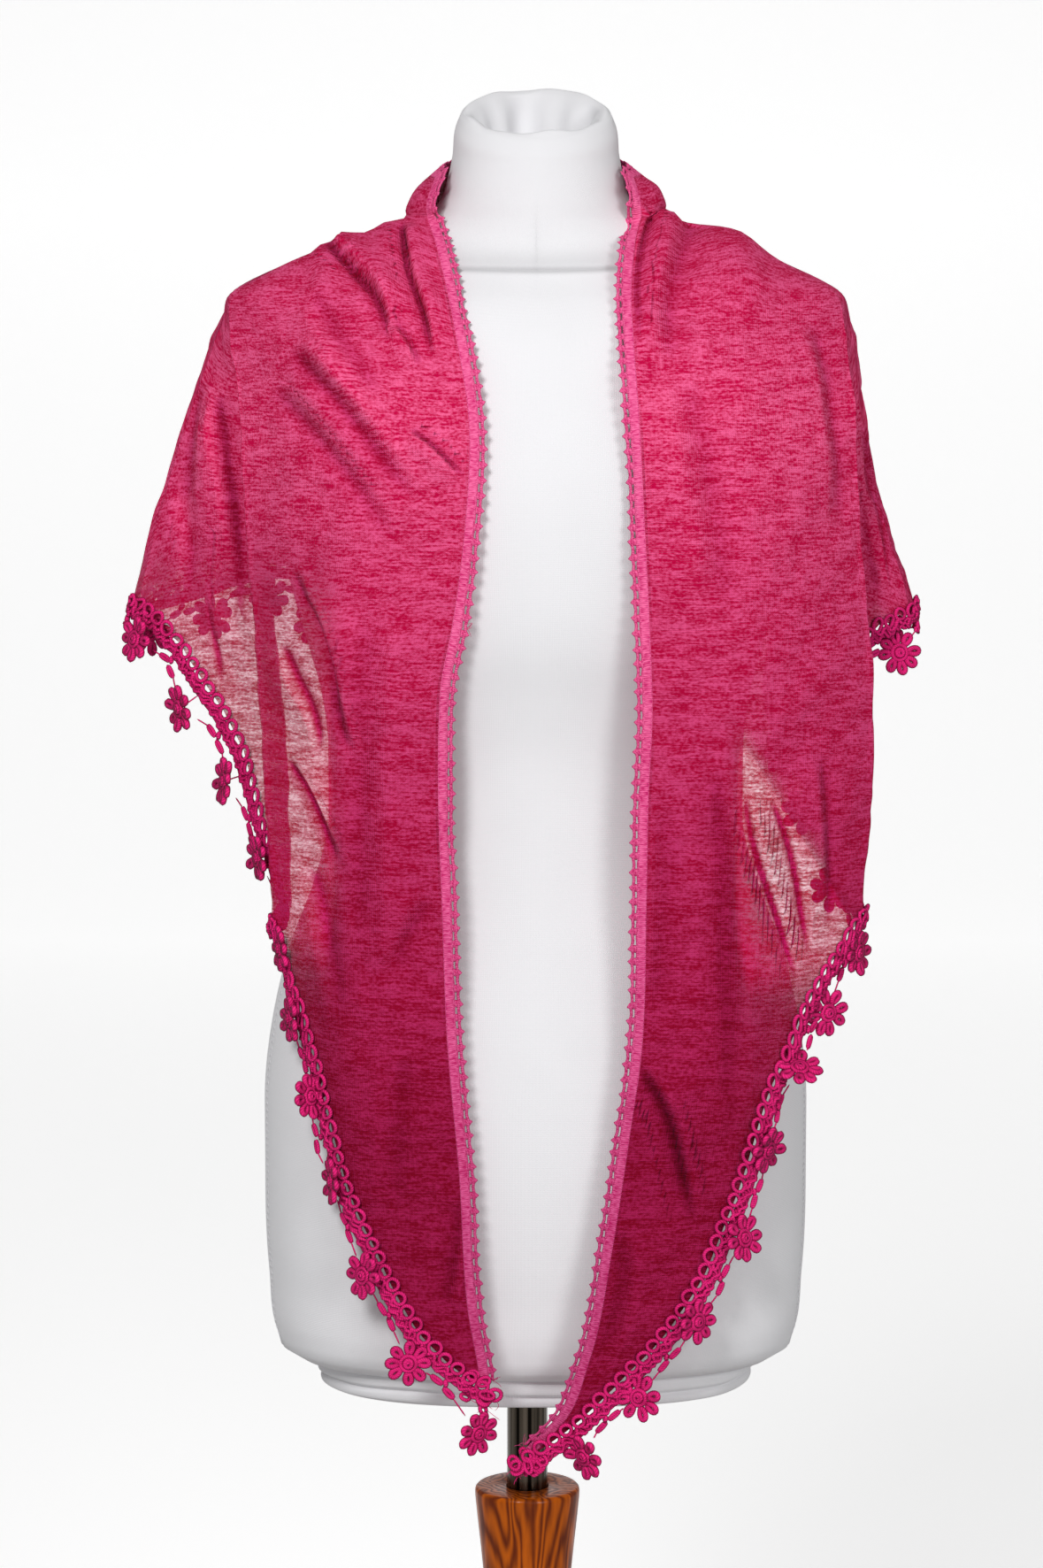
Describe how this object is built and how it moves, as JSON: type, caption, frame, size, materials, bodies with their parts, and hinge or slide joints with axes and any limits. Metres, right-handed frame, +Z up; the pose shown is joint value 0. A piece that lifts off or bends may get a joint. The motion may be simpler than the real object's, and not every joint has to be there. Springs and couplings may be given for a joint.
{
  "type": "foulard scarf on a dress form stand",
  "caption": "Triangular knitted foulard scarf with picot tape and flower lace, worn open over the shoulders of a limbless dress form on a wooden tripod stand.",
  "frame": {"origin": "on the floor on the pole's axis, which is the middle of the object's box to within 4 mm", "axes": "+Z up along the pole, -Y towards the front of the form, +X to the viewer's right"},
  "size_m": [0.4877, 0.425, 1.3182],
  "materials": {
    "magenta_knit": "fine heather knit, matt",
    "pink_tape": "soft knitted tape with picots, mottled pink",
    "flower_lace": "corded cotton lace, slight sheen",
    "white_jersey": "smooth white jersey over foam",
    "dark_chrome": "polished dark metal tube",
    "honey_wood": "lacquered, satin gloss"
  },
  "bodies": {
    "root": {"knit_panel": "magenta_knit", "picot_tape": "pink_tape", "flower_lace_left": "flower_lace", "flower_lace_right": "flower_lace", "form_body": "white_jersey", "form_base_rim": "white_jersey", "stand_pole": "dark_chrome", "stand_hub": "honey_wood", "stand_leg_1": "honey_wood", "stand_leg_2": "honey_wood", "stand_leg_3": "honey_wood"}
  },
  "joints": []
}
